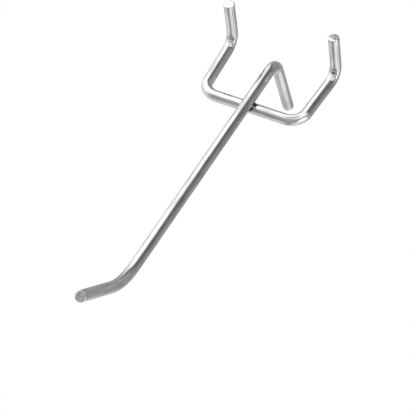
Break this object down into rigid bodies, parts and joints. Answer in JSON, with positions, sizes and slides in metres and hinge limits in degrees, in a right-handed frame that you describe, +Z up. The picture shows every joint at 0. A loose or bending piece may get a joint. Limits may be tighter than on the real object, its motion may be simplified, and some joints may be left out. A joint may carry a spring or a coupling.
{
  "type": "pegboard hook",
  "caption": "Chromed wire pegboard hook: a straight rail with an upturned tip, welded across a U-shaped bracket with upturned prongs, and a leg that rests on the board.",
  "frame": {"origin": "on the board's front face, midway between the two holes, where the bracket's arms pass through it", "axes": "+Z up, +X to the right seen from the front, +Y into the board; the rail runs out along -Y and rises a little"},
  "size_m": [0.0278, 0.0858, 0.049],
  "materials": {
    "chrome_wire": "polished"
  },
  "bodies": {
    "root": {"hook_arm": "chrome_wire", "prong_bracket": "chrome_wire"}
  },
  "joints": []
}
